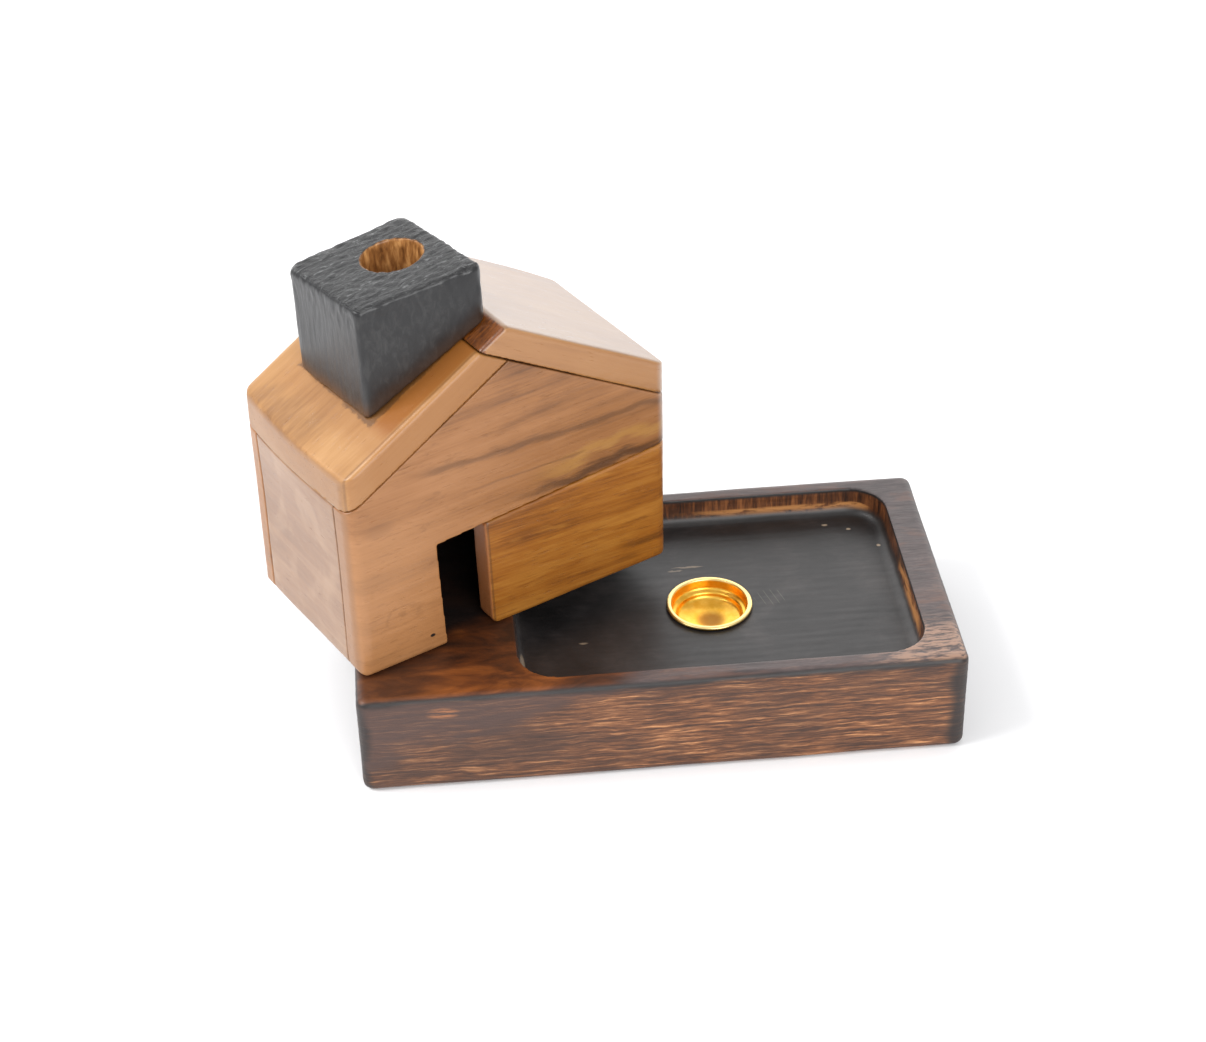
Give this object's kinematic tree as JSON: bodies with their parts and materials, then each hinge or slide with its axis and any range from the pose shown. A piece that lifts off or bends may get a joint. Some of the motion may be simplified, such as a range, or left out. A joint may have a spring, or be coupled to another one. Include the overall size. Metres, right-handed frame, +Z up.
{
  "type": "incense burner",
  "caption": "House-shaped wooden cone incense burner with a block chimney, standing askew on a pocketed base with a brass cone cup.",
  "frame": {"origin": "centre of the base block's underside", "axes": "+X along the base towards its pocketed end, +Y to the back, +Z up"},
  "size_m": [0.1598, 0.0897, 0.1177],
  "materials": {
    "honey_wood": "satin lacquer",
    "amber_wood": "satin lacquer",
    "burnt_wood": "burnt and waxed",
    "black_wood": "black stain, satin",
    "brass": "polished"
  },
  "bodies": {
    "base": {"base_block": "burnt_wood", "cone_cup": "brass"},
    "house": {"front_wall": "honey_wood", "front_right_board": "amber_wood", "rear_wall": "honey_wood", "left_side_wall": "honey_wood", "right_side_wall": "honey_wood", "left_roof_slab": "honey_wood", "right_roof_slab": "honey_wood", "chimney_block": "black_wood"}
  },
  "joints": [
    {"name": "house_lift", "type": "slide", "parent": "base", "child": "house", "axis": [0, 0, 1], "range_m": [0, 0.08]}
  ]
}
